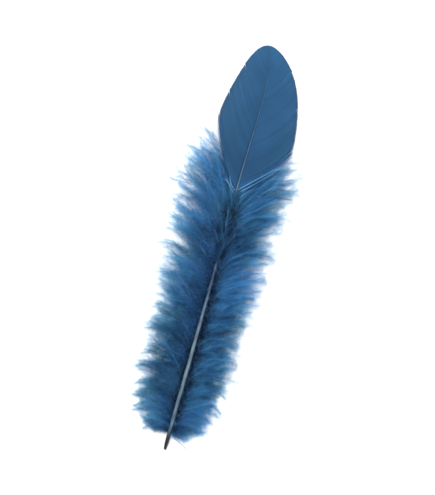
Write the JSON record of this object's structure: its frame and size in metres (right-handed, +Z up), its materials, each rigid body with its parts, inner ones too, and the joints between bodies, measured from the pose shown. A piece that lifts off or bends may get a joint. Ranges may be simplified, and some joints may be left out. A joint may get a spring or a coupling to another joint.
{
  "type": "goose quill feather",
  "caption": "Blue goose body feather lying flat: tapered shaft with a short bare quill, downy barbs along its lower part and a rounded smooth vane at the tip.",
  "frame": {"origin": "centre of the feather's bounding box, on the surface it lies on", "axes": "+Y along the feather towards the tip of the vane, +Z up out of its upper side, +X to its right seen from above with the tip ahead"},
  "size_m": [0.0552, 0.165, 0.0118],
  "materials": {
    "down": "matte",
    "vane": "satin",
    "shaft": "satin"
  },
  "bodies": {
    "root": {"feather": "down"}
  },
  "joints": []
}
